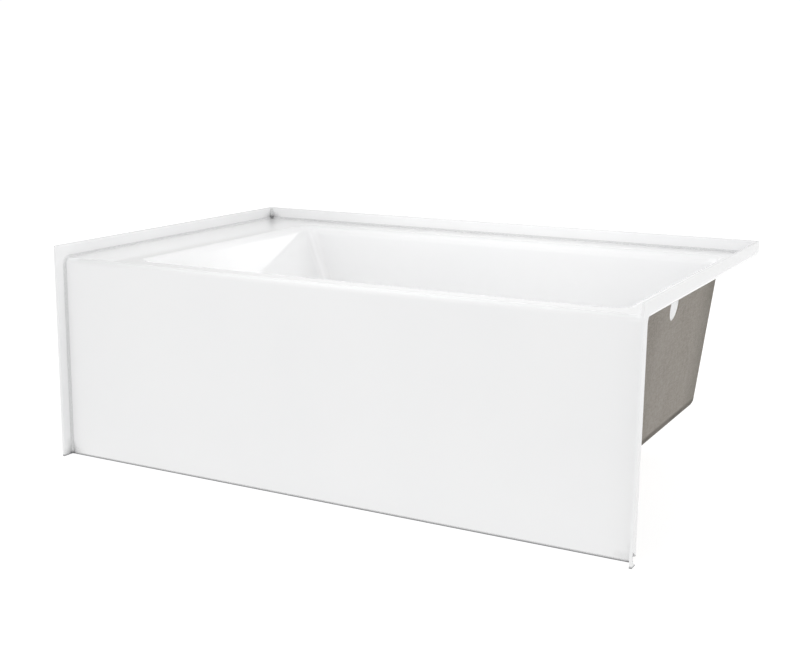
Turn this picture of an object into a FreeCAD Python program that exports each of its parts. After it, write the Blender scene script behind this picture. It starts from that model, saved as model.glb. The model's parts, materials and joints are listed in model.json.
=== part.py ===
import FreeCAD
import Part
import math
import os
import re
import Sketcher

# Alcove bathtub with an integral skirt. Millimetres, +Z up, +X towards the drain end, the skirt
# towards -Y. The origin is on the floor, below the centre of the tub's box.

SIZES = {
    # the tub from flange to flange, from the strips' front edge to the back, and to the flange's top
    "tub_length": 1524,
    "tub_depth": 968,
    "tub_height": 546,
    # the formed acrylic sheet and the glass fibre laminate on its back
    "sheet_gauge": 6,
    "laminate_gauge": 3,
    # tiling flanges, and the strips that run down both sides of the skirt; the back of a bend
    # grows faster than the sheet's gauge, because the sheet draws thin there
    "flange_rise": 34,
    "strip_reach": 30,
    "skirt_lean": 10,
    "form_radius": 5,
    "bend_growth": 1.5,
    "skirt_edge_radius": 14,
    # slanting slot through the foot of the drain end's strip
    "slot_front_margin": 3,
    "slot_front_level": 14,
    "slot_height": 21,
    "slot_fall": 0.7,
    "slot_depth": 9,
    # the well: margins at deck level, floor, wall runs and roundings
    "head_margin": 200,
    "drain_margin": 80,
    "front_margin": 73,
    "back_margin": 101,
    "floor_height": 124,
    "head_run": 152,
    "drain_run": 46,
    "side_run": 16,
    "rim_radius": 24,
    "well_corner_top": 30,
    "well_corner_floor": 26,
    "floor_radius": 20,
    # waste outlet and overflow
    "drain_setback": 130,
    "drain_hole": 52,
    "drain_dish": 88,
    "drain_dish_depth": 4,
    "overflow_hole": 70,
    "overflow_gap": 1,
    # where the laminate stops short of the trimmed edges
    "laminate_side_stop": 14,
    "laminate_foot_stop": 12,
    # board under the floor, and the timber behind the skirt and below the deck
    "board_gauge": 15,
    "board_head_end": 330,
    "board_drain_end": 440,
    "board_width": 530,
    "board_corner": 25,
    "timber_gauge": 20,
    "foot_rail_height": 40,
    "foot_rail_lift": 6,
    "foot_rail_end_gap": 32,
    "front_batten_width": 24,
    "back_batten_width": 40,
    "batten_height": 20,
    "batten_end_gap": 92,
    "head_panel_gauge": 12,
    "head_panel_width": 120,
    "head_panel_length": 700,
    "brace_gauge": 12,
    "brace_spacing": 240,
    "brace_first": -180,
    "brace_lift": 10,
    "brace_overlap": 40,
    "brace_nose": 55,
    # cross rails of folded steel with their screws, set in from the board's ends and edges
    "rail_head_inset": 30,
    "rail_drain_inset": 40,
    "rail_end": 26.5,
    "rail_width": 40,
    "rail_height": 30,
    "rail_gauge": 2.5,
    "rail_bend": 3,
    "screw_shank": 4,
    "screw_head": 9,
    "screw_head_height": 2.5,
    "screw_depth": 12,
    "screw_inset": 55,
    # levelling feet, their stems beside the board
    "foot_setoff": 28.5,
    "stem_thread": 12,
    "stem_rest": 5,
    "stem_top": 104,
    "stem_collar": 19,
    "stem_collar_height": 6,
    "nut_flats": 18,
    "nut_height": 10,
    "pad_width": 60,
    "pad_edge": 6,
    "pad_boss": 26,
    "pad_height": 13,
    "running_gap": 0.05,
    "seat_gap": 0.3,
}

DERIVED = {
    "deck_level": "tub_height - flange_rise",
    "well_drop": "tub_height - flange_rise - floor_height",
    "shell_gauge": "sheet_gauge + laminate_gauge",
    "skirt_face_foot": "strip_reach - tub_depth / 2",
    "skirt_slope": "skirt_lean / tub_height",
    "overflow_level": "tub_height - flange_rise - rim_radius - overflow_gap - overflow_hole / 2",
    "shell_underside": "floor_height - sheet_gauge - laminate_gauge",
}

# how far a cutting form reaches past what it cuts, how far the well's form rises into the open
# room above the deck, and the slack within which two levels count as one
OVERRUN = 20
LOFT_RISE = 10
NEAR = 0.01

doc = FreeCAD.newDocument("alcove_bathtub")
sheet = doc.addObject("Spreadsheet::Sheet", "dims")


def cells(formula):
    """A formula in aliases, written for the expression engine."""
    return re.sub(r"\b([a-z][a-z_]+)\b(?!\()", r"dims.\1", formula)


def value(formula):
    """The number that a formula in aliases gives."""
    return float(sheet.evalExpression(cells(formula)))


def fill_sheet():
    for row, (alias, number) in enumerate(SIZES.items(), start=1):
        sheet.set("A%d" % row, alias)
        sheet.set("B%d" % row, str(number))
        sheet.setAlias("B%d" % row, alias)
    for row, (alias, formula) in enumerate(DERIVED.items(), start=len(SIZES) + 1):
        sheet.set("A%d" % row, alias)
        sheet.set("B%d" % row, "=" + formula)
        sheet.setAlias("B%d" % row, alias)
    doc.recompute()


def new_body(label):
    body = doc.addObject("PartDesign::Body", label)
    body.Label = label
    return body


def sketch_on(body, role, level="0"):
    """A sketch on one of the body's origin planes, lifted along the plane's normal."""
    drawing = body.newObject("Sketcher::SketchObject", body.Label + "_sketch")
    plane = [item for item in body.Origin.OriginFeatures if item.Role == role][0]
    drawing.AttachmentSupport = (plane, "")
    drawing.MapMode = "FlatFace"
    drawing.setExpression("AttachmentOffset.Base.z", cells(level))
    return drawing


def pin(drawing, kind, geometry, point, formula):
    """Ties one coordinate of a point to a formula."""
    index = drawing.addConstraint(
        Sketcher.Constraint(kind, -1, 1, geometry, point, value(formula)))
    drawing.setExpression("Constraints[%d]" % index, cells(formula))


def draw_outline(drawing, corners):
    """A closed outline of straight lines, each corner given by two formulas."""
    points = [FreeCAD.Vector(value(x), value(y), 0) for x, y in corners]
    count = len(points)
    for index in range(count):
        drawing.addGeometry(Part.LineSegment(points[index], points[(index + 1) % count]))
    for index in range(count):
        following = (index + 1) % count
        drawing.addConstraint(Sketcher.Constraint("Coincident", index, 2, following, 1))
    for index, (x, y) in enumerate(corners):
        pin(drawing, "DistanceX", index, 1, x)
        pin(drawing, "DistanceY", index, 1, y)


def draw_rounded_rectangle(drawing, left, right, low, high, radius):
    """A rectangle with four equal rounded corners, all five sizes given by formulas."""
    x0, x1, y0, y1, r = [value(item) for item in (left, right, low, high, radius)]
    at = FreeCAD.Vector
    ends = [(at(x0 + r, y0), at(x1 - r, y0)), (at(x1, y0 + r), at(x1, y1 - r)),
            (at(x1 - r, y1), at(x0 + r, y1)), (at(x0, y1 - r), at(x0, y0 + r))]
    centres = [at(x1 - r, y0 + r), at(x1 - r, y1 - r), at(x0 + r, y1 - r), at(x0 + r, y0 + r)]
    for start, end in ends:
        drawing.addGeometry(Part.LineSegment(start, end))
    for quarter, centre in enumerate(centres):
        circle = Part.Circle(centre, at(0, 0, 1), r)
        start = (quarter - 1) * math.pi / 2
        drawing.addGeometry(Part.ArcOfCircle(circle, start, start + math.pi / 2))
    for side in range(4):
        following = (side + 1) % 4
        drawing.addConstraint(Sketcher.Constraint("Tangent", side, 2, 4 + side, 1))
        drawing.addConstraint(Sketcher.Constraint("Tangent", 4 + side, 2, following, 1))
    for side, kind in enumerate(("Horizontal", "Vertical", "Horizontal", "Vertical")):
        drawing.addConstraint(Sketcher.Constraint(kind, side))
    for side in range(3):
        drawing.addConstraint(Sketcher.Constraint("Equal", 4 + side, 5 + side))
    pin(drawing, "DistanceY", 0, 1, low)
    pin(drawing, "DistanceX", 1, 1, right)
    pin(drawing, "DistanceY", 2, 1, high)
    pin(drawing, "DistanceX", 3, 1, left)
    index = drawing.addConstraint(Sketcher.Constraint("Radius", 4, r))
    drawing.setExpression("Constraints[%d]" % index, cells(radius))


def draw_circle(drawing, x, y, diameter):
    centre = FreeCAD.Vector(value(x), value(y), 0)
    radius = value(diameter) / 2
    drawing.addGeometry(Part.Circle(centre, FreeCAD.Vector(0, 0, 1), radius))
    pin(drawing, "DistanceX", 0, 3, x)
    pin(drawing, "DistanceY", 0, 3, y)
    index = drawing.addConstraint(Sketcher.Constraint("Diameter", 0, 2 * radius))
    drawing.setExpression("Constraints[%d]" % index, cells(diameter))


def pad(body, drawing, length, both_ways=False, downwards=False):
    feature = body.newObject("PartDesign::Pad", body.Label + "_pad")
    feature.Profile = drawing
    feature.setExpression("Length", cells(length))
    feature.Midplane = both_ways
    feature.Reversed = downwards
    drawing.Visibility = False
    doc.recompute()
    return feature


def fillet(body, edges, radius):
    """Rounds the body's edges that a test picks."""
    tip = body.Tip
    names = ["Edge%d" % (i + 1) for i, edge in enumerate(tip.Shape.Edges) if edges(edge)]
    feature = body.newObject("PartDesign::Fillet", body.Label + "_fillet")
    feature.Base = (tip, names)
    feature.setExpression("Radius", cells(radius))
    doc.recompute()
    return feature


def at_level(edge, axis, level):
    """Whether an edge lies in one plane square to an axis."""
    box = edge.BoundBox
    low = (box.XMin, box.YMin, box.ZMin)[axis]
    high = (box.XMax, box.YMax, box.ZMax)[axis]
    return abs(low - level) < NEAR and abs(high - level) < NEAR


def wall(side, level, gap):
    """Where a wall of the well stands at a level, moved out of the well by a gap."""
    run = {"head": "head_run", "drain": "drain_run"}.get(side, "side_run")
    foot = {
        "head": "-tub_length / 2 + head_margin",
        "drain": "tub_length / 2 - drain_margin",
        "front": "skirt_face_foot + skirt_slope * deck_level + front_margin",
        "back": "tub_depth / 2 - back_margin",
    }[side]
    sign = "+" if side in ("head", "front") else "-"
    away = "-" if sign == "+" else "+"
    lean = "%s %s / well_drop * (deck_level - (%s))" % (sign, run, level)
    shift = "%s (%s) * sqrt(1 + (%s / well_drop)^2)" % (away, gap, run)
    return "%s %s %s" % (foot, lean, shift)


def well_section(body, level, gap, corner):
    drawing = sketch_on(body, "XY_Plane", level)
    sides = [wall(side, level, gap) for side in ("head", "drain", "front", "back")]
    draw_rounded_rectangle(drawing, *sides, "%s + %s" % (corner, gap))
    doc.recompute()
    return drawing


def skirt_face(level, gap):
    """The skirt's face at a level, moved backwards by a gap."""
    return "skirt_face_foot + skirt_slope * (%s) + (%s) * sqrt(1 + skirt_slope^2)" % (level, gap)


def open_space(label, gap):
    """The room above the deck, before the skirt and in the well, grown by a gap."""
    body = new_body(label)
    deck = "deck_level - (%s)" % gap
    back = "tub_depth / 2 - sheet_gauge + %s" % gap
    front = "-tub_depth / 2 - %d" % OVERRUN
    top = "tub_height + %d" % OVERRUN
    side = sketch_on(body, "YZ_Plane")
    draw_outline(side, [
        (front, "-%d" % OVERRUN),
        (skirt_face("-%d" % OVERRUN, gap), "-%d" % OVERRUN),
        (skirt_face(deck, gap), deck),
        (back, deck),
        (back, top),
        (front, top),
    ])
    length = "tub_length - 2 * sheet_gauge + 2 * (%s)" % gap
    pad(body, side, length, both_ways=True)
    deck_z = value(deck)
    skirt_y = value(skirt_face(deck, gap))
    back_y = value(back)
    end_x = value(length) / 2

    def skirt_edge(edge):
        return at_level(edge, 2, deck_z) and at_level(edge, 1, skirt_y)

    fillet(body, skirt_edge, "skirt_edge_radius - (%s)" % gap)

    def flange_foot(edge):
        """The inner corners at both ends and along the back, the open front left out."""
        box = edge.BoundBox
        at_back = at_level(edge, 1, back_y)
        below = box.ZMax < deck_z + NEAR and box.YMin > value(front) + NEAR
        at_end = at_level(edge, 0, end_x) or at_level(edge, 0, -end_x)
        return at_end and (below or at_back) or at_back and at_level(edge, 2, deck_z)

    fillet(body, flange_foot, "form_radius + bend_growth * (%s)" % gap)
    floor = "floor_height - (%s)" % gap
    sections = [
        well_section(body, "deck_level + %d" % LOFT_RISE, gap, "well_corner_top"),
        well_section(body, floor, gap, "well_corner_floor"),
    ]
    loft = body.newObject("PartDesign::AdditiveLoft", label + "_well")
    loft.Profile = sections[0]
    loft.Sections = sections[1:]
    loft.Ruled = True
    doc.recompute()
    room = [value(wall(side, deck, gap)) for side in ("head", "drain", "front", "back")]

    def rim(edge):
        box = edge.BoundBox
        across = box.XMin > room[0] - NEAR and box.XMax < room[1] + NEAR
        along = box.YMin > room[2] - NEAR and box.YMax < room[3] + NEAR
        return at_level(edge, 2, deck_z) and across and along

    fillet(body, rim, "rim_radius - (%s)" % gap)
    floor_z = value(floor)

    def floor_edge(edge):
        return at_level(edge, 2, floor_z)

    fillet(body, floor_edge, "floor_radius + %s" % gap)
    dish = sketch_on(body, "XY_Plane", floor)
    draw_circle(dish, drain_x(), well_middle(), "drain_dish + 2 * (%s)" % gap)
    pad(body, dish, "drain_dish_depth", downwards=True)
    return body


def drain_x():
    return "tub_length / 2 - drain_margin - drain_run - drain_setback"


def well_middle():
    return "((%s) + (%s)) / 2" % (wall("front", "deck_level", "0"), wall("back", "deck_level", "0"))


def taken(label, base, tool):
    """A solid with another taken from it."""
    cut = doc.addObject("Part::Cut", label)
    cut.Label = label
    cut.Base = base
    cut.Tool = tool
    doc.recompute()
    return cut


def shared(label, first, second):
    """The room that two solids share."""
    both = doc.addObject("Part::MultiCommon", label)
    both.Shapes = [first, second]
    doc.recompute()
    return both


def prism(label, role, corners, length, shift="0"):
    """A prism on an outline, to both sides of its plane."""
    body = new_body(label)
    drawing = sketch_on(body, role, shift)
    draw_outline(drawing, corners)
    pad(body, drawing, length, both_ways=True)
    return body


def trimmed_reach():
    """Everything inside the sheet's trimmed edges, the strips leaning back with the skirt."""
    front_foot = "-tub_depth / 2"
    front_top = "-tub_depth / 2 + skirt_lean"
    back = "tub_depth / 2"
    corners = [(front_foot, "0"), (back, "0"), (back, "tub_height"), (front_top, "tub_height")]
    return prism("trimmed_reach", "YZ_Plane", corners, "tub_length")


def laminate_reach():
    """What the laminate covers: it stops short of the flanges' faces and of the skirt's foot."""
    foot = "laminate_foot_stop"
    back = "tub_depth / 2 - laminate_side_stop"
    front = "-tub_depth / 2"
    corners = [(front, foot), (back, foot), (back, "tub_height"), (front, "tub_height")]
    length = "tub_length - 2 * laminate_side_stop"
    return prism("laminate_reach", "YZ_Plane", corners, length)


def strip_slot():
    """The slot through the drain end's strip, falling towards the back down to the floor."""
    front = "slot_front_margin - tub_depth / 2"
    back = "skirt_face_foot + sheet_gauge"
    run = "strip_reach + sheet_gauge - slot_front_margin"
    corners = [(front, "slot_front_level"), (back, "slot_front_level - slot_fall * (%s)" % run),
               (back, "slot_front_level + slot_height - slot_fall * (%s)" % run),
               (front, "slot_front_level + slot_height")]
    return prism("strip_slot", "YZ_Plane", corners, "2 * slot_depth", "tub_length / 2")


def drain_bore(label):
    bore = doc.addObject("Part::Cylinder", label)
    bore.setExpression("Radius", cells("drain_hole / 2"))
    bore.setExpression("Height", cells("floor_height"))
    bore.setExpression("Placement.Base.x", cells(drain_x()))
    bore.setExpression("Placement.Base.y", cells(well_middle()))
    return bore


def overflow_bore(label):
    """A cylinder square to the drain end's sloping wall."""
    bore = doc.addObject("Part::Cylinder", label)
    bore.setExpression("Radius", cells("overflow_hole / 2"))
    bore.setExpression("Height", cells("shell_gauge + 2 * %d" % OVERRUN))
    across = FreeCAD.Rotation(FreeCAD.Vector(0, 1, 0), 90)
    bore.Placement = FreeCAD.Placement(FreeCAD.Vector(), across)
    bore.setExpression("Placement.Rotation.Angle", cells("acos(0) + atan(drain_run / well_drop)"))
    start = wall("drain", "overflow_level", "-%d" % OVERRUN)
    bore.setExpression("Placement.Base.x", cells(start))
    bore.setExpression("Placement.Base.y", cells(well_middle()))
    bore.setExpression("Placement.Base.z", cells("overflow_level"))
    return bore


def bored(label, base):
    """A formed layer with its waste outlet and its overflow."""
    first = taken(label + "_with_outlet", base, drain_bore(label + "_drain_bore"))
    return taken(label, first, overflow_bore(label + "_overflow_bore"))


def formed_shell():
    """The sheet and its laminate: each is the open space grown, less the space before that."""
    room = open_space("open_space", "0")
    sheet_back = open_space("sheet_back", "sheet_gauge")
    laminate_back = open_space("laminate_back", "shell_gauge")
    sheet_block = shared("sheet_block", sheet_back, trimmed_reach())
    slotted = taken("slotted_sheet", taken("acrylic_sheet", sheet_block, room), strip_slot())
    acrylic = bored("acrylic_shell", slotted)
    laminate_block = shared("laminate_block", laminate_back, laminate_reach())
    laminate = taken("laminate_sheet", laminate_block, sheet_back)
    return [acrylic, bored("fiberglass_backing", laminate)]


def circle_pad(body, x, y, diameter, level, length, role="XY_Plane"):
    drawing = sketch_on(body, role, level)
    draw_circle(drawing, x, y, diameter)
    return pad(body, drawing, length)


def pocket(body, drawing, length=None, reversed_way=False):
    """A cut along the sketch's normal, through all where no length is given."""
    feature = body.newObject("PartDesign::Pocket", body.Label + "_pocket")
    feature.Profile = drawing
    before = body.Shape.Volume
    if length is None:
        feature.Type = "ThroughAll"
        feature.Midplane = True
    else:
        feature.setExpression("Length", cells(length))
        feature.Reversed = reversed_way
    drawing.Visibility = False
    doc.recompute()
    if not body.Shape.Volume < before:
        raise RuntimeError("nothing was cut from " + body.Label)
    return feature


RAILS = {"head": "rail_head_inset - board_head_end", "drain": "board_drain_end - rail_drain_inset"}
SCREWS_PER_RAIL = 4


def board_edge(row):
    """The board's edge at the front or at the back."""
    return "%s %s board_width / 2" % (well_middle(), {"front": "-", "back": "+"}[row])


def foot_place(row):
    return "%s %s foot_setoff" % (board_edge(row), {"front": "-", "back": "+"}[row])


def screws_along(place):
    """Where one rail's screws stand, evenly from edge to edge of the board."""
    first = board_edge("front") + " + screw_inset"
    pitch = "(board_width - 2 * screw_inset) / %d" % (SCREWS_PER_RAIL - 1)
    return [(place, "%s + %d * %s" % (first, row, pitch)) for row in range(SCREWS_PER_RAIL)]


def screw_places():
    return [spot for place in RAILS.values() for spot in screws_along(place)]


def board_underside():
    return "shell_underside - seat_gap - board_gauge"


def base_board():
    """The board under the floor, with blind pilot holes for the rails' screws."""
    body = new_body("base_board")
    drawing = sketch_on(body, "XY_Plane", board_underside())
    draw_rounded_rectangle(
        drawing, "-board_head_end", "board_drain_end", board_edge("front"), board_edge("back"),
        "board_corner")
    pad(body, drawing, "board_gauge")
    for x, y in screw_places():
        hole = sketch_on(body, "XY_Plane", board_underside())
        draw_circle(hole, x, y, "screw_shank + 2 * running_gap")
        pocket(body, hole, "screw_depth - rail_gauge + seat_gap", reversed_way=True)
    return body


def cross_rail(end):
    """A folded channel, open below, with holes for two stems and four screws."""
    place = RAILS[end]
    body = new_body("cross_rail_" + end)
    drawing = sketch_on(body, "XZ_Plane", "-(%s)" % well_middle())
    left = "%s - rail_width / 2" % place
    right = "%s + rail_width / 2" % place
    foot = "%s - rail_height" % board_underside()
    web = "%s - rail_gauge" % board_underside()
    draw_outline(drawing, [
        (left, foot),
        (left + " + rail_gauge", foot),
        (left + " + rail_gauge", web),
        (right + " - rail_gauge", web),
        (right + " - rail_gauge", foot),
        (right, foot),
        (right, board_underside()),
        (left, board_underside()),
    ])
    pad(body, drawing, "board_width + 2 * (foot_setoff + rail_end)", both_ways=True)
    edges = [value(left), value(right)]
    top = value(board_underside())

    def outer_bend(edge):
        outside = at_level(edge, 0, edges[0]) or at_level(edge, 0, edges[1])
        return outside and at_level(edge, 2, top)

    fillet(body, outer_bend, "rail_bend")
    holes = [(place, foot_place(row), "stem_thread") for row in ("front", "back")]
    holes += [(x, y, "screw_shank") for x, y in screws_along(place)]
    for x, y, width in holes:
        hole = sketch_on(body, "XY_Plane", board_underside())
        draw_circle(hole, x, y, width + " + 2 * running_gap")
        pocket(body, hole, "2 * rail_gauge")
    return body


def rail_screws():
    """All the screws that hold the rails to the board, heads against the channels' webs."""
    screws = []
    web = "%s - rail_gauge" % board_underside()
    for number, (x, y) in enumerate(screw_places(), start=1):
        body = new_body("rail_screw_%d" % number)
        circle_pad(body, x, y, "screw_head", web + " - screw_head_height", "screw_head_height")
        circle_pad(body, x, y, "screw_shank", web, "screw_depth")
        screws.append(body)
    group = doc.addObject("Part::Compound", "rail_screws")
    group.Label = "rail_screws"
    group.Links = screws
    doc.recompute()
    return group


def hex_nut(label, x, y, level):
    """A nut standing at a level, bored to run on the stem."""
    body = new_body(label)
    drawing = sketch_on(body, "XY_Plane", level)
    corner = "nut_flats / sqrt(3)"
    half_flat = "nut_flats / sqrt(3) / 2"
    half_width = "nut_flats / 2"
    draw_outline(drawing, [
        ("%s + %s" % (x, corner), y),
        ("%s + %s" % (x, half_flat), "%s + %s" % (y, half_width)),
        ("%s - %s" % (x, half_flat), "%s + %s" % (y, half_width)),
        ("%s - %s" % (x, corner), y),
        ("%s - %s" % (x, half_flat), "%s - %s" % (y, half_width)),
        ("%s + %s" % (x, half_flat), "%s - %s" % (y, half_width)),
    ])
    pad(body, drawing, "nut_height")
    bore = sketch_on(body, "XY_Plane", level)
    draw_circle(bore, x, y, "stem_thread + 2 * running_gap")
    pocket(body, bore)
    return body


def foot_stem(label, x, y):
    """A threaded stem with the collar that a spanner turns."""
    body = new_body(label)
    circle_pad(body, x, y, "stem_thread", "stem_rest", "stem_top - stem_rest")
    circle_pad(body, x, y, "stem_collar", "pad_height + seat_gap", "stem_collar_height")
    return body


def foot_pad(label, x, y):
    """A round foot with a boss that holds the stem's end."""
    body = new_body(label)
    circle_pad(body, x, y, "pad_width", "0", "pad_edge")
    neck = sketch_on(body, "XY_Plane", "pad_edge")
    draw_circle(neck, x, y, "pad_width - 2 * pad_edge")
    top = sketch_on(body, "XY_Plane", "pad_height")
    draw_circle(top, x, y, "pad_boss")
    loft = body.newObject("PartDesign::AdditiveLoft", label + "_boss")
    loft.Profile = neck
    loft.Sections = [top]
    doc.recompute()
    socket = sketch_on(body, "XY_Plane", "pad_height")
    draw_circle(socket, x, y, "stem_thread + 2 * running_gap")
    pocket(body, socket, "pad_height - stem_rest")
    return body


def levelling_feet():
    pieces = []
    nut_top = "%s - rail_gauge" % board_underside()
    for end, x in RAILS.items():
        for row in ("front", "back"):
            y = foot_place(row)
            name = "%s_%s" % (end, row)
            level = nut_top + " - nut_height"
            pieces.append(hex_nut("rail_nut_" + name, x, y, level))
            pieces.append(hex_nut("lock_nut_" + name, x, y, level + " - nut_height"))
            pieces.append(foot_stem("foot_stem_" + name, x, y))
            pieces.append(foot_pad("foot_pad_" + name, x, y))
    return pieces


def foot_rail():
    """The timber behind the skirt's foot, cut to the skirt's lean."""
    low = "foot_rail_lift"
    high = "foot_rail_lift + foot_rail_height"
    gap = "shell_gauge + seat_gap"
    corners = [(skirt_face(low, gap), low), (skirt_face(low, gap) + " + timber_gauge", low),
               (skirt_face(low, gap) + " + timber_gauge", high), (skirt_face(high, gap), high)]
    length = "tub_length - 2 * foot_rail_end_gap"
    return prism("skirt_foot_rail", "YZ_Plane", corners, length)


def skirt_brace(label, x):
    """A plywood gusset from the foot rail to the underside of the board."""
    front = skirt_face("foot_rail_lift", "shell_gauge + 2 * seat_gap") + " + timber_gauge"
    inner = board_edge("front") + " + brace_overlap"
    top = board_underside() + " - seat_gap"
    corners = [(front, "brace_lift"), (front + " + brace_nose", "brace_lift"),
               (inner, top + " - brace_overlap / 2"), (inner, top),
               (front, top)]
    return prism(label, "YZ_Plane", corners, "brace_gauge", x)


def skirt_braces():
    names = ("head", "middle", "drain")
    return [skirt_brace("skirt_brace_" + name, "brace_first + %d * brace_spacing" % number)
            for number, name in enumerate(names)]


def deck_underside():
    return "deck_level - shell_gauge - seat_gap"


def long_batten(label, middle, width):
    """A batten glued along the underside of the deck."""
    low = deck_underside() + " - batten_height"
    left = "%s - %s / 2" % (middle, width)
    right = "%s + %s / 2" % (middle, width)
    corners = [(left, low), (right, low), (right, deck_underside()), (left, deck_underside())]
    length = "tub_length - head_margin - drain_margin - 2 * batten_end_gap"
    return prism(label, "YZ_Plane", corners, length, "(head_margin - drain_margin) / 2")


def deck_supports():
    front_middle = "((%s) + (%s)) / 2" % (
        skirt_face(deck_underside(), "shell_gauge"), wall("front", deck_underside(), "shell_gauge"))
    back_middle = "(tub_depth / 2 + %s) / 2" % wall("back", deck_underside(), "shell_gauge")
    front = long_batten("deck_batten_front", front_middle, "front_batten_width")
    back = long_batten("deck_batten_back", back_middle, "back_batten_width")
    panel = new_body("deck_panel_head")
    drawing = sketch_on(panel, "XY_Plane", deck_underside() + " - head_panel_gauge")
    middle = "(-tub_length / 2 + %s) / 2" % wall("head", deck_underside(), "shell_gauge")
    draw_rounded_rectangle(
        drawing, middle + " - head_panel_width / 2", middle + " + head_panel_width / 2",
        well_middle() + " - head_panel_length / 2", well_middle() + " + head_panel_length / 2",
        "board_corner")
    pad(panel, drawing, "head_panel_gauge")
    return [front, back, panel]


def check(pieces):
    """Stops before anything is written if an object failed or a shape is not sound."""
    for item in doc.Objects:
        if "Invalid" in item.State or "Error" in item.State:
            raise RuntimeError("%s failed" % item.Name)
    for piece in pieces:
        if piece.Shape.isNull() or not piece.Shape.isValid():
            raise RuntimeError("%s has no sound shape" % piece.Label)


def build():
    fill_sheet()
    pieces = formed_shell()
    pieces.append(base_board())
    pieces += [cross_rail(end) for end in RAILS]
    pieces.append(rail_screws())
    pieces += levelling_feet()
    pieces.append(foot_rail())
    pieces += skirt_braces()
    pieces += deck_supports()
    doc.recompute()
    check(pieces)
    os.makedirs("parts", exist_ok=True)
    for piece in pieces:
        piece.Shape.exportStep("parts/%s.step" % piece.Label)
        box = piece.Shape.BoundBox
        print("%-28s %d solids %12.0f  X %8.1f %8.1f  Y %8.1f %8.1f  Z %7.1f %7.1f" % (
            piece.Label, len(piece.Shape.Solids), piece.Shape.Volume,
            box.XMin, box.XMax, box.YMin, box.YMax, box.ZMin, box.ZMax))


build()
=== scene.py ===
import json
import math

import bpy
import bmesh
from mathutils import Matrix, Vector


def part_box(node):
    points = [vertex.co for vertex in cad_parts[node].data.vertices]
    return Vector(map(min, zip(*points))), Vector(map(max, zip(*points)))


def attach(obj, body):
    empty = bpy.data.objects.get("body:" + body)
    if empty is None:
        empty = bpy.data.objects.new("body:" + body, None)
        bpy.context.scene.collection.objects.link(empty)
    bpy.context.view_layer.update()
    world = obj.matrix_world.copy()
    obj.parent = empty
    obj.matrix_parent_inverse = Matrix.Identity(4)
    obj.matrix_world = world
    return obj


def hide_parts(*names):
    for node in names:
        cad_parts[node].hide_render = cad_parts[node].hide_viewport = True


# Alcove bathtub. Metres, in the frame of the CAD model: +Z up, +X towards the drain end, the
# skirt towards -Y, the origin on the floor below the middle of the tub's box.

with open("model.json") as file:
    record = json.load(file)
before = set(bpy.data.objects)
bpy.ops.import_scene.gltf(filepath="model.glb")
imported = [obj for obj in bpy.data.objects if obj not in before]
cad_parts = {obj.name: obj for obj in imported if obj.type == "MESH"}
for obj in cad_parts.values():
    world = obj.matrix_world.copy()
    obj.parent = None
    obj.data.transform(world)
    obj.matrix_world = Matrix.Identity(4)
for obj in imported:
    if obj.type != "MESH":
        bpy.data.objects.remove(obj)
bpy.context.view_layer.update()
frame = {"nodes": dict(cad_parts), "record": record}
NODES = frame["nodes"]


# ---------------------------------------------------------------- node helpers

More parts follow.
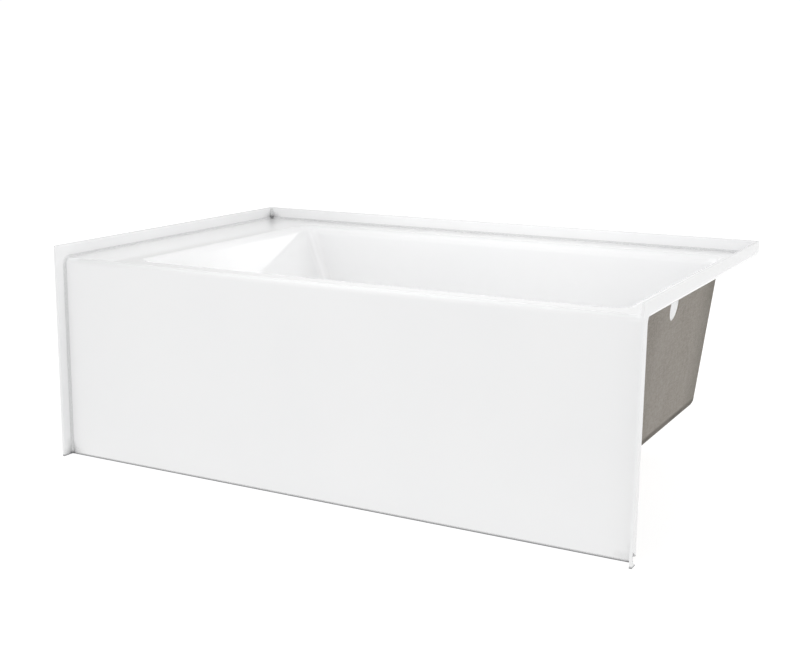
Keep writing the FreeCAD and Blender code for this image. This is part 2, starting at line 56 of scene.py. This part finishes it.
class Graph:
    """Short calls for building one material's nodes."""

    def __init__(self, name):
        self.material = bpy.data.materials.new(name)
        self.material.use_nodes = True
        self.tree = self.material.node_tree
        self.shader = self.tree.nodes["Principled BSDF"]
        self.place = self.add("ShaderNodeTexCoord").outputs["Object"]

    def add(self, kind, **settings):
        node = self.tree.nodes.new(kind)
        for key, value in settings.items():
            setattr(node, key, value)
        return node

    def put(self, socket, value):
        """Links an output to a socket, or sets the socket's own number."""
        if isinstance(value, bpy.types.NodeSocket):
            self.tree.links.new(value, socket)
        else:
            socket.default_value = value

    def feed(self, node, **inputs):
        for key, value in inputs.items():
            self.put(node.inputs[key.replace("_", " ")], value)
        return node

    def moved(self, scale=(1, 1, 1), turn=(0, 0, 0)):
        """The place in the model's frame, turned and scaled for a texture."""
        node = self.add("ShaderNodeMapping", vector_type="POINT")
        self.put(node.inputs["Vector"], self.place)
        node.inputs["Rotation"].default_value = turn
        node.inputs["Scale"].default_value = scale
        return node.outputs["Vector"]

    def noise(self, scale, detail=4.0, rough=0.5, place=None, distort=0.0):
        node = self.add("ShaderNodeTexNoise")
        self.put(node.inputs["Vector"], place or self.place)
        self.feed(node, Scale=scale, Detail=detail, Roughness=rough, Distortion=distort)
        return node.outputs["Fac"]

    def cells(self, scale, output="Distance", place=None):
        node = self.add("ShaderNodeTexVoronoi", feature="F1")
        self.put(node.inputs["Vector"], place or self.place)
        self.feed(node, Scale=scale, Randomness=1.0)
        return node.outputs[output]

    def cell_tone(self, scale, channel, place):
        """A random number for each cell: one channel of its random colour."""
        parts = self.add("ShaderNodeSeparateColor")
        self.put(parts.inputs["Color"], self.cells(scale, output="Color", place=place))
        return parts.outputs[channel]

    def ramp(self, value, stops):
        """A colour ramp; each stop is a place from 0 to 1 and a grey or a colour."""
        node = self.add("ShaderNodeValToRGB")
        self.put(node.inputs["Fac"], value)
        marks = node.color_ramp.elements
        while len(marks) < len(stops):
            marks.new(0.5)
        for mark, (where, tone) in zip(marks, stops):
            mark.position = where
            mark.color = (*tone, 1) if isinstance(tone, tuple) else (tone, tone, tone, 1)
        return node.outputs["Color"]

    def span(self, value, low, high, from_low=0.0, from_high=1.0):
        """A number that goes from low to high while the value goes from from_low to from_high."""
        node = self.add("ShaderNodeMapRange")
        self.feed(node, Value=value)
        for key, number in (("From Min", from_low), ("From Max", from_high),
                            ("To Min", low), ("To Max", high)):
            node.inputs[key].default_value = number
        return node.outputs["Result"]

    def calc(self, first, second, operation="ADD"):
        node = self.add("ShaderNodeMath", operation=operation)
        self.put(node.inputs[0], first)
        self.put(node.inputs[1], second)
        return node.outputs[0]

    def mix(self, share, first, second, blend="MIX"):
        node = self.add("ShaderNodeMix", data_type="RGBA", blend_type=blend)
        self.put(node.inputs["Factor"], share)
        for socket, value in ((node.inputs[6], first), (node.inputs[7], second)):
            self.put(socket, (*value, 1) if isinstance(value, tuple) else value)
        return node.outputs[2]

    def bump(self, height, strength, distance):
        node = self.add("ShaderNodeBump")
        self.feed(node, Height=height, Strength=strength, Distance=distance)
        self.put(self.shader.inputs["Normal"], node.outputs["Normal"])

    def surface(self, **inputs):
        """Sets or links the shader's inputs, and returns the finished material."""
        for key, value in inputs.items():
            name = key.replace("_", " ")
            if isinstance(value, tuple):
                value = (*value, 1)
            self.put(self.shader.inputs[name], value)
        return self.material


# ------------------------------------------------------------------- materials

# the painted shade in a tight bend and in a three-way corner: how far off it looks for what shuts
# a place in, the share of open directions at which it starts, and the one at which it is full
BEND = (0.010, 0.86, 0.62)
PIT = (0.055, 0.50, 0.22)
HOLLOW_SAMPLES = 8
PAINTED_SHADE_TONE = (0.10, 0.102, 0.106)
ACRYLIC_IOR = 1.49


def hollows(g, reach, starts_at, full_at):
    """How hollow a place is, from 0 to 1, by the share of nearby directions that are open."""
    node = g.add("ShaderNodeAmbientOcclusion", samples=HOLLOW_SAMPLES)
    node.inputs["Distance"].default_value = reach
    return g.span(node.outputs["AO"], 1.0, 0.0, full_at, starts_at)


def white_acrylic():
    """Glossy cast acrylic: near white, faintly cloudy, with painted shade in its tight bends and
    corners.
    """
    g = Graph("white_acrylic")
    cloud = g.noise(3.1, detail=3.0)
    fine = g.noise(240.0, detail=2.0)
    colour = g.ramp(cloud, [(0.35, (0.892, 0.894, 0.898)), (0.65, (0.905, 0.906, 0.908))])
    # painted shade: the base colour darkens in tight bends and three-way corners, by how shut in
    # they are
    shade = g.calc(hollows(g, *BEND), hollows(g, *PIT), "MAXIMUM")
    colour = g.mix(shade, colour, PAINTED_SHADE_TONE)
    rough = g.calc(g.span(cloud, 0.012, 0.022, 0.3, 0.7), g.span(fine, 0.0, 0.008))
    ripple = g.noise(5.0, detail=1.0, rough=0.4)
    g.bump(g.calc(ripple, g.span(fine, 0.0, 0.002)), 0.005, 0.003)
    return g.surface(Base_Color=colour, Roughness=rough, IOR=ACRYLIC_IOR, Coat_Weight=0.3,
                     Coat_Roughness=0.02)


# the dark line along the foot of the laminate's walls: the levels, and the
# depths between which the line comes in, so that it stays off the back of the skirt
DARK_LINE_LEVELS = (0.115, 0.150)
DARK_LINE_DEPTHS = (-0.395, -0.385)
DARK_LINE_TONE = (0.075, 0.066, 0.052)
# along Y, where the front's coarse spray thins out and the back corner's painted shade comes in
COARSE_DEPTHS = (-0.17, -0.05)
PAINTED_CORNER_SHADE_DEPTHS = (0.22, 0.38)
PAINTED_CORNER_SHADE_TONE = (0.075, 0.070, 0.050)
RUN_TONE = (0.260, 0.236, 0.196)
STRAND_TONE = (0.46, 0.44, 0.40)
STRAND_TURNS = (0.2, 1.1, 2.0, 2.7)
SPECK_TONE = (0.07, 0.062, 0.054)
GRIT_TONE = (0.10, 0.09, 0.08)


def chopped_strands(g):
    """Short fibres that lie in several directions, each from a noise drawn out along one axis."""
    strands = None
    for turn in STRAND_TURNS:
        stretched = g.moved(scale=(1.0, 0.1, 1.0), turn=(turn, turn * 0.7, turn))
        line = g.ramp(g.noise(380.0, detail=2.0, place=stretched), [(0.58, 0.0), (0.66, 1.0)])
        strands = line if strands is None else g.mix(1.0, strands, line, "LIGHTEN")
    return strands


def dark_foot_line(g, axes, patches):
    """The dark line at the foot, broken up by the patches."""
    band = g.ramp(g.span(axes["Z"], 0.0, 1.0, *DARK_LINE_LEVELS),
                  [(0.04, 0.0), (0.3, 1.0), (0.72, 1.0), (0.95, 0.0)])
    behind = g.calc(band, g.span(axes["Y"], 0.0, 1.0, *DARK_LINE_DEPTHS), "MULTIPLY")
    return g.calc(behind, g.span(patches, 0.65, 1.0, 0.4, 0.6), "MULTIPLY")


def glass_fibre_laminate():
    """Sprayed resin over chopped strands: warm grey, softly mottled, rougher near the front."""
    g = Graph("glass_fibre_laminate")
    patches = g.noise(9.0, detail=4.0, rough=0.55)
    mottle = g.noise(95.0, detail=5.0, rough=0.7, distort=0.4)
    grit = g.noise(520.0, detail=3.0, rough=0.7)
    runs = g.noise(1.0, detail=3.0, place=g.moved(scale=(22, 30, 3)))
    strands = chopped_strands(g)
    split = g.add("ShaderNodeSeparateXYZ")
    g.put(split.inputs["Vector"], g.place)
    axes = split.outputs
    coarse = g.span(axes["Y"], 1.0, 0.25, *COARSE_DEPTHS)

    base = g.ramp(patches, [(0.3, (0.262, 0.236, 0.205)), (0.7, (0.318, 0.291, 0.262))])
    base = g.mix(g.span(runs, 0.0, 0.35, 0.35, 0.65), base, RUN_TONE)
    spots = g.ramp(mottle, [(0.36, (0.215, 0.195, 0.165)), (0.62, (0.410, 0.378, 0.345))])
    colour = g.mix(g.span(strands, 0.0, 0.2), g.mix(0.35, base, spots), STRAND_TONE)
    specks = g.span(g.ramp(g.cells(260.0), [(0.06, 1.0), (0.14, 0.0)]), 0.0, 0.3)
    colour = g.mix(g.calc(specks, coarse, "MULTIPLY"), colour, SPECK_TONE)
    dirt = g.span(grit, 0.0, 0.6, 0.45, 0.7)
    colour = g.mix(g.calc(dirt, coarse, "MULTIPLY"), colour, GRIT_TONE)
    # painted shade: darker towards the back corner, which turns away from the light
    colour = g.mix(g.span(axes["Y"], 0.0, 0.45, *PAINTED_CORNER_SHADE_DEPTHS), colour, PAINTED_CORNER_SHADE_TONE)
    # darker in a broken line along the foot of the walls
    colour = g.mix(dark_foot_line(g, axes, patches), colour, DARK_LINE_TONE)

    height = g.calc(g.calc(g.span(mottle, 0.0, 0.7), g.span(strands, 0.0, 0.5)),
                    g.calc(g.span(grit, 0.0, 0.8), coarse, "MULTIPLY"))
    g.bump(height, 0.4, 0.0012)
    return g.surface(Base_Color=colour, Roughness=g.span(mottle, 0.5, 0.75), IOR=1.5,
                     Specular_IOR_Level=0.15)


# how finely rings and fibres repeat across the grain, and how far they are drawn out along it
RING_SCALE = 26.0
RING_STRETCH = 0.045
FIBRE_ACROSS = 420.0
FIBRE_ALONG = 9.0
PLY_SCALE = 131.0  # a light and a dark layer in 2.4 mm


def wood(name, light, dark, along):
    """Sawn wood, its grain along one axis of the model's frame."""
    g = Graph(name)
    scale = [RING_SCALE] * 3
    scale[along] = RING_SCALE * RING_STRETCH
    grain = g.noise(1.0, detail=6.0, rough=0.62, place=g.moved(scale=scale), distort=0.9)
    fine_scale = [FIBRE_ACROSS] * 3
    fine_scale[along] = FIBRE_ALONG
    fibre = g.noise(1.0, detail=3.0, place=g.moved(scale=fine_scale))
    colour = g.ramp(grain, [(0.32, dark), (0.48, light), (0.62, dark), (0.72, light)])
    colour = g.mix(g.span(fibre, 0.0, 0.35), colour, dark)
    g.bump(g.calc(grain, fibre), 0.35, 0.0007)
    return g.surface(Base_Color=colour, Roughness=g.span(fibre, 0.55, 0.8))


def plywood():
    """Plywood: thin alternating layers along X, which is across the brace."""
    g = Graph("plywood")
    wave = g.add("ShaderNodeTexWave", wave_type="BANDS", bands_direction="X")
    g.feed(wave, Scale=PLY_SCALE, Distortion=0.6, Detail=2.0)
    g.put(wave.inputs["Vector"], g.place)
    layers = g.ramp(wave.outputs["Fac"], [(0.42, (0.42, 0.28, 0.15)), (0.58, (0.66, 0.5, 0.32))])
    face = g.noise(1.0, detail=5.0, rough=0.6, place=g.moved(scale=(30, 34, 2.4)), distort=0.7)
    colour = g.mix(g.span(face, 0.15, 0.6), layers, (0.62, 0.46, 0.29))
    g.bump(g.calc(face, wave.outputs["Fac"]), 0.3, 0.0006)
    return g.surface(Base_Color=colour, Roughness=g.span(face, 0.6, 0.85))


def chipboard():
    """Pressed wood chips of mixed tone."""
    g = Graph("chipboard")
    tone = g.cell_tone(430.0, "Red", g.moved(scale=(1, 0.55, 1), turn=(0, 0, 0.4)))
    colour = g.ramp(tone, [(0.0, (0.28, 0.18, 0.09)), (0.5, (0.52, 0.37, 0.2)),
                           (1.0, (0.68, 0.52, 0.32))])
    dust = g.noise(900.0, detail=2.0)
    colour = g.mix(g.span(dust, 0.0, 0.3), colour, (0.4, 0.27, 0.15))
    g.bump(g.calc(tone, dust), 0.3, 0.0006)
    return g.surface(Base_Color=colour, Roughness=g.span(dust, 0.65, 0.9))


def galvanised_steel():
    """Hot-dip zinc with its spangle."""
    g = Graph("galvanised_steel")
    tone = g.cell_tone(95.0, "Green", g.moved(turn=(0.3, 0.2, 0.5)))
    streak = g.noise(60.0, detail=4.0, place=g.moved(scale=(1, 0.2, 1)))
    colour = g.ramp(tone, [(0.0, (0.42, 0.44, 0.46)), (1.0, (0.64, 0.66, 0.68))])
    rough = g.calc(g.span(tone, 0.26, 0.46), g.span(streak, 0.0, 0.12))
    g.bump(g.calc(tone, streak), 0.12, 0.0004)
    return g.surface(Base_Color=colour, Roughness=rough, Metallic=1.0)


def zinc_plated_steel():
    """Bright zinc plate with faint turning marks and stains."""
    g = Graph("zinc_plated_steel")
    marks = g.noise(1.0, detail=3.0, place=g.moved(scale=(90, 90, 2600)))
    stain = g.noise(75.0, detail=4.0)
    colour = g.ramp(stain, [(0.35, (0.50, 0.49, 0.44)), (0.65, (0.70, 0.71, 0.70))])
    g.bump(marks, 0.15, 0.0002)
    return g.surface(Base_Color=colour, Roughness=g.span(marks, 0.2, 0.38), Metallic=1.0)


def black_plastic():
    """Moulded black plastic with a fine spark-eroded grain."""
    g = Graph("black_plastic")
    grain = g.noise(1500.0, detail=2.0)
    scuff = g.noise(70.0, detail=5.0, rough=0.65)
    colour = g.ramp(scuff, [(0.4, (0.018, 0.018, 0.019)), (0.75, (0.05, 0.05, 0.052))])
    g.bump(grain, 0.3, 0.0003)
    return g.surface(Base_Color=colour, Roughness=g.span(scuff, 0.42, 0.66))


FINISHES = {
    "white_acrylic": white_acrylic(),
    "glass_fibre_laminate": glass_fibre_laminate(),
    "chipboard": chipboard(),
    "softwood": wood("softwood", (0.70, 0.53, 0.33), (0.55, 0.37, 0.20), along=0),
    "plywood": plywood(),
    "galvanised_steel": galvanised_steel(),
    "zinc_plated_steel": zinc_plated_steel(),
    "black_plastic": black_plastic(),
}


def dress(node, finish):
    """Gives a CAD node its finish, in every material slot that it has."""
    slots = NODES[node].data.materials
    if not len(slots):
        slots.append(None)
    for index in range(len(slots)):
        slots[index] = FINISHES[finish]


for row in frame["record"]["subparts"]:
    dress(row["node"], row["material_slot"])


# --------------------------------------------------------------- fine hardware

STEPS_ROUND = 72
SMOOTH_BELOW = math.radians(35)
MERGE = 1e-7
RUNNING_GAP = 0.00005

# the metric thread of the feet: a tooth's outline as shares of the pitch and of its depth
STEM_RADIUS = 0.006
STEM_CHAMFER = 0.0012
THREAD_PITCH = 0.00175
THREAD_DEPTH = 0.00095
THREAD_STEPS = 36
TOOTH = [(0.0, 0.0), (0.38, 1.0), (0.50, 1.0), (0.88, 0.0), (1.0, 0.0)]
CORE_GAP = 0.00002
CORE_RADIUS = STEM_RADIUS - THREAD_DEPTH - CORE_GAP
COLLAR_FLATS = 0.0164
COLLAR_LIFT = 0.0003
COLLAR_HEIGHT = 0.006

NUT_CHAMFER = 0.0008
NUT_FACE_SHARE = 0.95
CHAMFER_SLOPE = math.tan(math.radians(30))

PAD_DISC = 0.0048
PAD_RIM_DROP = 0.0012
PAD_BOSS_RADIUS = 0.0108
PAD_ROUNDING = 0.001
PAD_GROOVES = (0.010, 0.017, 0.024)
PAD_GROOVE_WIDTH = 0.0026
PAD_GROOVE_DEPTH = 0.0012
PAD_RIBS = 8
PAD_RIB_GAUGE = 0.0018
PAD_RIB_FOOT = 0.0235
PAD_RIB_TOP = 0.0126

SCREWS_PER_RAIL = 4
SCREW_TURN = math.radians(37)
SCREW_HEAD_RADIUS = 0.0045
SCREW_HEAD_HEIGHT = 0.0025
SCREW_SHANK_RADIUS = 0.00195
SCREW_SHANK_LENGTH = 0.008
SCREW_FLAT_SHARE = 0.55
SCREW_STEPS_ROUND = 48
SCREW_DOME_ANGLES = [math.radians(angle) for angle in range(15, 91, 15)]
RECESS_REACH = 0.0023
RECESS_WIDTH = 0.0006
RECESS_DEPTH = 0.0015
RECESS_TAPER = 0.55


def levels_of(node):
    """The point on the floor below a node's middle, and its lowest and highest level."""
    low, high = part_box(node)
    return Vector(((low[0] + high[0]) / 2, (low[1] + high[1]) / 2, 0)), low[2], high[2]


def rounding(centre_r, centre_z, radius, start, end, steps=5):
    """Points of a rounded corner in a turned profile, from one angle in degrees to another."""
    points = []
    for step in range(steps + 1):
        angle = math.radians(start + (end - start) * step / steps)
        points.append((centre_r + radius * math.cos(angle), centre_z + radius * math.sin(angle)))
    return points


def lathe(mesh, profile, steps=STEPS_ROUND):
    """Turns a profile of (radius, level) pairs about Z; each may be a call on the angle."""
    rows = []
    for radius, level in profile:
        row = []
        for step in range(steps):
            angle = 2 * math.pi * step / steps
            r = radius(angle) if callable(radius) else radius
            z = level(angle) if callable(level) else level
            row.append(mesh.verts.new((r * math.cos(angle), r * math.sin(angle), z)))
        rows.append(row)
    for lower, upper in zip(rows, rows[1:]):
        for here in range(steps):
            there = (here + 1) % steps
            mesh.faces.new((lower[here], lower[there], upper[there], upper[here]))


def thread(mesh, low, high):
    """A right-handed thread that fades out over its first and last half turn."""
    turns = (high - low) / THREAD_PITCH - 1
    previous = None
    for step in range(int(turns * THREAD_STEPS) + 1):
        turn = step / THREAD_STEPS
        angle = 2 * math.pi * turn
        fade = max(0.0, min(1.0, 2 * turn, 2 * (turns - turn)))
        row = []
        for share, rise in TOOTH:
            reach = STEM_RADIUS - THREAD_DEPTH * (1 - fade * rise)
            level = low + THREAD_PITCH * (turn + share)
            row.append(mesh.verts.new((reach * math.cos(angle), reach * math.sin(angle), level)))
        if previous:
            for here in range(len(row) - 1):
                mesh.faces.new((previous[here], row[here], row[here + 1], previous[here + 1]))
        previous = row


def mesh_data(mesh, name, finish):
    """Closes a mesh under construction and gives it its finish and its sharp edges."""
    bmesh.ops.remove_doubles(mesh, verts=mesh.verts, dist=MERGE)
    bmesh.ops.recalc_face_normals(mesh, faces=mesh.faces)
    data = bpy.data.meshes.new(name)
    mesh.to_mesh(data)
    mesh.free()
    data.materials.append(FINISHES[finish])
    data.shade_smooth()
    data.set_sharp_from_angle(angle=SMOOTH_BELOW)
    return data


def stand_for(node, data, place, body):
    """Stands a piece in its place and lets it ride on its body for a CAD node."""
    data.transform(Matrix.Translation(place))
    item = bpy.data.objects.new(data.name, data)
    bpy.context.scene.collection.objects.link(item)
    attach(item, body)
    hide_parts(node)


def nut_profile(flats, low, high, bore):
    """A hexagon nut's outline, its corners on X and cut back by a cone above and below."""
    sixth = math.pi / 3
    face = flats / 2 * NUT_FACE_SHARE

    def corner(angle):
        return flats / 2 / math.cos((angle % sixth) - sixth / 2)

    def drop(angle):
        return (corner(angle) - face) * CHAMFER_SLOPE

    return [
        (bore, low + NUT_CHAMFER),
        (bore + NUT_CHAMFER, low),
        (face, low),
        (corner, lambda angle: low + drop(angle)),
        (corner, lambda angle: high - drop(angle)),
        (face, high),
        (bore + NUT_CHAMFER, high),
        (bore, high - NUT_CHAMFER),
        (bore, low + NUT_CHAMFER),
    ]


def hex_nut(node):
    place, low, high = levels_of(node)
    box_low, box_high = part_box(node)
    mesh = bmesh.new()
    lathe(mesh, nut_profile(box_high[1] - box_low[1], low, high, STEM_RADIUS + RUNNING_GAP))
    data = mesh_data(mesh, node + "_chamfered", "zinc_plated_steel")
    stand_for(node, data, place, "tub")


def foot_stem(foot):
    """A plain spigot in the pad, a hexagon to turn the stem by, and the thread above it."""
    node = "foot_stem_" + foot
    place, low, high = levels_of(node)
    collar_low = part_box("foot_pad_" + foot)[1][2] + COLLAR_LIFT
    collar_high = collar_low + COLLAR_HEIGHT
    thread_low = collar_high - THREAD_PITCH
    thread_high = high - STEM_CHAMFER
    mesh = bmesh.new()
    lathe(mesh, [(0, low), (STEM_RADIUS - STEM_CHAMFER, low), (STEM_RADIUS, low + STEM_CHAMFER),
                 (STEM_RADIUS, collar_low + NUT_CHAMFER)])
    lathe(mesh, nut_profile(COLLAR_FLATS, collar_low, collar_high, CORE_RADIUS))
    thread(mesh, thread_low, thread_high)
    lathe(mesh, [(CORE_RADIUS, thread_low), (CORE_RADIUS, thread_high),
                 (CORE_RADIUS - STEM_CHAMFER, high), (0, high)])
    data = mesh_data(mesh, node + "_threaded", "zinc_plated_steel")
    stand_for(node, data, place, "stem_" + foot)


def pad_profile(low, high, edge):
    """A grooved sole, a disc with a rounded rim, and the boss with its socket."""
    r = PAD_ROUNDING
    socket = STEM_RADIUS + RUNNING_GAP
    points = [(0, low)]
    for middle in PAD_GROOVES:
        inner = middle - PAD_GROOVE_WIDTH / 2
        outer = middle + PAD_GROOVE_WIDTH / 2
        deep = low + PAD_GROOVE_DEPTH
        points += [(inner, low), (inner, deep), (outer, deep), (outer, low)]
    points += rounding(edge - r, low + r, r, -90, 0)
    points += rounding(edge - r, low + PAD_DISC - PAD_RIM_DROP - r, r, 0, 90)
    points += rounding(PAD_BOSS_RADIUS + r, low + PAD_DISC + r, r, 270, 180)
    points += rounding(PAD_BOSS_RADIUS - r, high - r, r, 0, 90)
    return points + [(socket + RUNNING_GAP, high), (socket, high - r), (socket, low + PAD_DISC),
                     (0, low + PAD_DISC)]


def pad_ribs(mesh, low, high):
    """Upright ribs between the pad's boss and its rim."""
    side = [(PAD_BOSS_RADIUS - PAD_ROUNDING, low + PAD_DISC / 2),
            (PAD_RIB_FOOT, low + PAD_DISC / 2),
            (PAD_RIB_FOOT, low + PAD_DISC),
            (PAD_RIB_TOP, high - 2 * PAD_ROUNDING),
            (PAD_BOSS_RADIUS - PAD_ROUNDING, high - 2 * PAD_ROUNDING)]
    for number in range(PAD_RIBS):
        turn = Matrix.Rotation(2 * math.pi * number / PAD_RIBS, 3, "Z")
        faces = []
        for shift in (-PAD_RIB_GAUGE / 2, PAD_RIB_GAUGE / 2):
            corners = [mesh.verts.new(turn @ Vector((r, shift, z))) for r, z in side]
            faces.append(corners)
            mesh.faces.new(corners)
        for here in range(len(side)):
            there = (here + 1) % len(side)
            mesh.faces.new((faces[0][here], faces[0][there], faces[1][there], faces[1][here]))


def foot_pad(foot):
    node = "foot_pad_" + foot
    place, low, high = levels_of(node)
    box_low, box_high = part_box(node)
    mesh = bmesh.new()
    lathe(mesh, pad_profile(low, high, (box_high[0] - box_low[0]) / 2))
    pad_ribs(mesh, low, high)
    data = mesh_data(mesh, node + "_moulded", "black_plastic")
    stand_for(node, data, place, "pad_" + foot)


def cross_recess(low):
    """The tapered cross that a driver fits, as an outline of twelve corners at two levels."""
    mesh = bmesh.new()
    rows = []
    for level, share in ((low - RECESS_DEPTH / 2, 1.0), (low + RECESS_DEPTH, RECESS_TAPER)):
        reach, half = RECESS_REACH * share, RECESS_WIDTH
        quarter = [(reach, -half), (reach, half), (half, half)]
        row = []
        for number in range(4):
            turn = Matrix.Rotation(math.pi / 2 * number, 3, "Z")
            row += [mesh.verts.new(turn @ Vector((x, y, level))) for x, y in quarter]
        rows.append(row)
    mesh.faces.new(rows[0])
    mesh.faces.new(rows[1])
    for here in range(len(rows[0])):
        there = (here + 1) % len(rows[0])
        mesh.faces.new((rows[0][here], rows[0][there], rows[1][there], rows[1][here]))
    return mesh_data(mesh, "cross_recess", "zinc_plated_steel")


def screw(low, web, radius):
    """One pan-head screw, its driver's cross cut into the domed head from below."""
    mesh = bmesh.new()
    flat = radius * SCREW_FLAT_SHARE
    dome = web - low
    points = [(0, low), (flat, low)]
    points += [(flat + (radius - flat) * math.sin(angle), low + dome * (1 - math.cos(angle)))
               for angle in SCREW_DOME_ANGLES]
    lathe(mesh, points + [(SCREW_SHANK_RADIUS, web),
                          (SCREW_SHANK_RADIUS, web + SCREW_SHANK_LENGTH),
                          (0, web + SCREW_SHANK_LENGTH)], steps=SCREW_STEPS_ROUND)
    head = mesh_data(mesh, "screw_blank", "zinc_plated_steel")
    blank = bpy.data.objects.new("screw_blank", head)
    cutter = bpy.data.objects.new("recess_cutter", cross_recess(low))
    for item in (blank, cutter):
        bpy.context.scene.collection.objects.link(item)
    cut = blank.modifiers.new("recess", "BOOLEAN")
    cut.operation = "DIFFERENCE"
    cut.object = cutter
    graph = bpy.context.evaluated_depsgraph_get()
    data = bpy.data.meshes.new_from_object(blank.evaluated_get(graph))
    for item in (blank, cutter):
        bpy.data.objects.remove(item)
    return data


def rail_screws():
    """The screws of both rails, as one piece; each rail's row runs between the board's edges."""
    low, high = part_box("rail_screws")
    web = low[2] + SCREW_HEAD_HEIGHT
    radius = SCREW_HEAD_RADIUS
    pattern = screw(low[2], web, radius)
    mesh = bmesh.new()
    for x in (low[0] + radius, high[0] - radius):
        for row in range(SCREWS_PER_RAIL):
            y = low[1] + radius + (high[1] - low[1] - 2 * radius) * row / (SCREWS_PER_RAIL - 1)
            turn = Matrix.Rotation(SCREW_TURN * row, 4, "Z")
            copy = pattern.copy()
            copy.transform(Matrix.Translation((x, y, 0)) @ turn)
            mesh.from_mesh(copy)
            bpy.data.meshes.remove(copy)
    data = mesh_data(mesh, "rail_screws_recessed", "zinc_plated_steel")
    stand_for("rail_screws", data, (0, 0, 0), "tub")


for node in list(NODES):
    if node.startswith(("rail_nut_", "lock_nut_")):
        hex_nut(node)
    elif node.startswith("foot_stem_"):
        foot_stem(node.removeprefix("foot_stem_"))
    elif node.startswith("foot_pad_"):
        foot_pad(node.removeprefix("foot_pad_"))
rail_screws()


# -------------------------------------------------------------- floor and light

FLOOR_REACH = 30.0
FLOOR_DROP = -0.0006
FLOOR_TONE = 0.30
FLOOR_CLOUD = 0.99
FLOOR_GLOW = 0.86
ROOM_LIGHT = 0.425
# towards, from and to which cosine the zone fades in, and how much light it adds
ROOM_ZONES = [
    ((0.0, 0.0, -1.0), -0.13, -0.05, 0.36),
    ((0.0, 0.98, 0.21), 0.80, 1.0, 0.25),
    ((0.63, 0.75, 0.21), 0.80, 1.0, 0.32),
    ((-0.63, 0.75, 0.21), 0.80, 1.0, 0.25),
    ((-0.96, 0.17, 0.21), 0.80, 1.0, 0.92),
    ((0.33, -0.92, 0.21), 0.80, 1.0, 0.36),
    ((-0.33, -0.92, 0.21), 0.80, 1.0, 0.52),
    ((-0.47, -0.21, 0.86), 0.96, 0.99, 0.60),
    ((0.45, 0.86, 0.24), 0.988, 0.996, 1.45),
    ((0.79, -0.45, 0.41), 0.985, 0.994, 2.20),
]
# name, place, target, width, height, watts
LIGHTS = [
    ("over_the_well", (0.1, -0.40, 1.5), (0.1, 0.44, 0.40), 1.2, 0.5, 8.2),
    ("high_behind", (0.6, 2.0, 2.6), (0.0, 0.3, 0.3), 2.0, 1.5, 15.5),
]


def plain_paint(name, tone, glow):
    """Pale paint with a faint cloud, and a little light of its own as on a lit sweep."""
    g = Graph(name)
    speck = g.noise(2.0, detail=3.0)
    return g.surface(Base_Color=g.ramp(speck, [(0.3, tone * FLOOR_CLOUD), (0.7, tone)]),
                     Roughness=0.9, Emission_Color=(1.0, 1.0, 1.0), Emission_Strength=glow)


def floor():
    """A wide pale floor."""
    mesh = bpy.data.meshes.new("floor")
    corners = [(side * FLOOR_REACH, end * FLOOR_REACH, 0)
               for side, end in ((-1, -1), (1, -1), (1, 1), (-1, 1))]
    mesh.from_pydata(corners, [], [(0, 1, 2, 3)])
    item = bpy.data.objects.new("floor", mesh)
    item.location.z = FLOOR_DROP
    mesh.materials.append(plain_paint("floor_paint", FLOOR_TONE, FLOOR_GLOW))
    bpy.context.scene.collection.objects.link(item)


def soft_light(name, place, target, width, height, power):
    """A wide lamp that is neither seen nor mirrored."""
    data = bpy.data.lights.new(name, "AREA")
    data.shape = "RECTANGLE"
    data.size = width
    data.size_y = height
    data.energy = power
    item = bpy.data.objects.new(name, data)
    item.location = place
    away = Vector(target) - Vector(place)
    item.rotation_euler = away.to_track_quat("-Z", "Y").to_euler()
    item.visible_camera = False
    item.visible_glossy = False
    bpy.context.scene.collection.objects.link(item)


def studio():
    """A pale room, brighter in some directions and near the floor, and two soft lamps."""
    world = bpy.data.worlds.new("studio")
    world.use_nodes = True
    tree = world.node_tree
    back = tree.nodes["Background"]
    way = tree.nodes.new("ShaderNodeTexCoord").outputs["Generated"]
    total = ROOM_LIGHT
    for towards, start, end, change in ROOM_ZONES:
        dot = tree.nodes.new("ShaderNodeVectorMath")
        dot.operation = "DOT_PRODUCT"
        tree.links.new(way, dot.inputs[0])
        dot.inputs[1].default_value = Vector(towards).normalized()
        zone = tree.nodes.new("ShaderNodeMapRange")
        zone.interpolation_type = "SMOOTHSTEP"
        tree.links.new(dot.outputs["Value"], zone.inputs["Value"])
        zone.inputs["From Min"].default_value = start
        zone.inputs["From Max"].default_value = end
        zone.inputs["To Max"].default_value = change
        add = tree.nodes.new("ShaderNodeMath")
        tree.links.new(zone.outputs["Result"], add.inputs[0])
        if isinstance(total, float):
            add.inputs[1].default_value = total
        else:
            tree.links.new(total, add.inputs[1])
        total = add.outputs[0]
    tree.links.new(total, back.inputs["Strength"])
    back.inputs["Color"].default_value = (1.0, 1.0, 1.0, 1)
    bpy.context.scene.world = world
    for light in LIGHTS:
        soft_light(*light)


# ---------------------------------------------------------------------- camera

# as the photograph's corners and edges give it
CAMERA_PLACE = (1.48539, -2.79278, 1.00729)
CAMERA_TURN = math.radians(28.557)
CAMERA_PITCH = math.radians(77.494)
CAMERA_ROLL = math.radians(0.128)
CAMERA_LENS = 56.54
CAMERA_SENSOR = 36.0
CAMERA_NEAR = 0.05
CAMERA_FAR = 200.0


def photo_camera():
    data = bpy.data.cameras.new("camera")
    data.sensor_width = CAMERA_SENSOR
    data.lens = CAMERA_LENS
    data.clip_start = CAMERA_NEAR
    data.clip_end = CAMERA_FAR
    item = bpy.data.objects.new("camera", data)
    item.location = CAMERA_PLACE
    aim = Matrix.Rotation(CAMERA_TURN, 3, "Z") @ Matrix.Rotation(CAMERA_PITCH, 3, "X")
    item.rotation_euler = (aim @ Matrix.Rotation(CAMERA_ROLL, 3, "Z")).to_euler()
    bpy.context.scene.collection.objects.link(item)
    bpy.context.scene.camera = item


photo_camera()
floor()
studio()
bpy.context.scene.view_settings.view_transform = "Standard"
